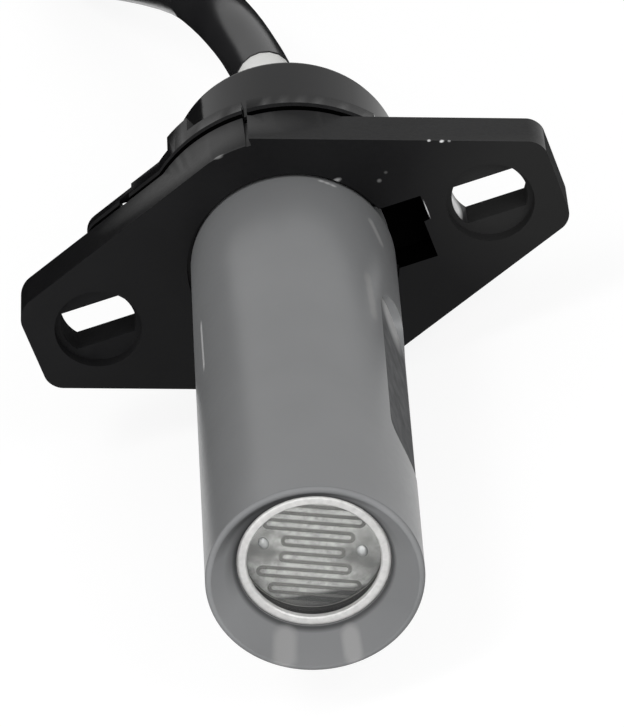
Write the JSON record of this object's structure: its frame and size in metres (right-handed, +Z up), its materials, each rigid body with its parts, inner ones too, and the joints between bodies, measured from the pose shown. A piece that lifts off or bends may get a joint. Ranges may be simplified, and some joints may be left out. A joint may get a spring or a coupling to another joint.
{
  "type": "oil burner photocell",
  "caption": "Tubular flame-sensing photocell with a rhombic fixing flange, a slide-in clip, a rear cap and a short coiled lead.",
  "frame": {"origin": "on the tube's axis in the front face of the flange", "axes": "+X along the flange's length, +Y along the tube towards the lead, +Z up across the flange"},
  "size_m": [0.0576, 0.152, 0.0212],
  "materials": {
    "tube_plastic": "satin",
    "flange_plastic": "matte",
    "clip_plastic": "matte",
    "cap_plastic": "satin",
    "can_metal": "satin",
    "cell_glass": "polished",
    "cell_ceramic": "matte",
    "cell_track": "matte",
    "comb_metal": "matte",
    "header_metal": "satin",
    "seal_glass": "gloss",
    "carrier_plastic": "matte",
    "solder": "gloss",
    "copper": "satin",
    "sleeve": "satin",
    "core_brown": "satin",
    "core_blue": "satin",
    "sheath_white": "satin",
    "grommet_rubber": "matte",
    "jacket": "satin",
    "tie_plastic": "satin",
    "collar_plastic": "satin",
    "ferrule_metal": "satin"
  },
  "bodies": {
    "root": {"sensor_tube": "tube_plastic", "flange": "flange_plastic", "retaining_clip": "clip_plastic", "rear_cap": "cap_plastic", "cell_can": "can_metal", "cell_window": "cell_glass", "cell_disc": "cell_ceramic", "cell_layer": "cell_track", "cell_comb_left": "comb_metal", "cell_comb_right": "comb_metal", "cell_dots": "solder", "cell_header": "header_metal", "cell_pins": "header_metal", "pin_seals": "seal_glass", "cell_carrier": "carrier_plastic", "solder_joints": "solder", "conductor_ends": "copper", "lead_sleeves": "sleeve", "core_a": "core_brown", "core_b": "core_blue", "inner_sheath": "sheath_white", "strain_relief": "grommet_rubber", "cord": "jacket", "cord_coil": "jacket", "cord_tie": "tie_plastic", "cord_tail": "jacket", "tail_core_a": "core_brown", "tail_core_b": "core_blue", "ferrule_collars": "collar_plastic", "ferrules": "ferrule_metal"}
  },
  "joints": []
}
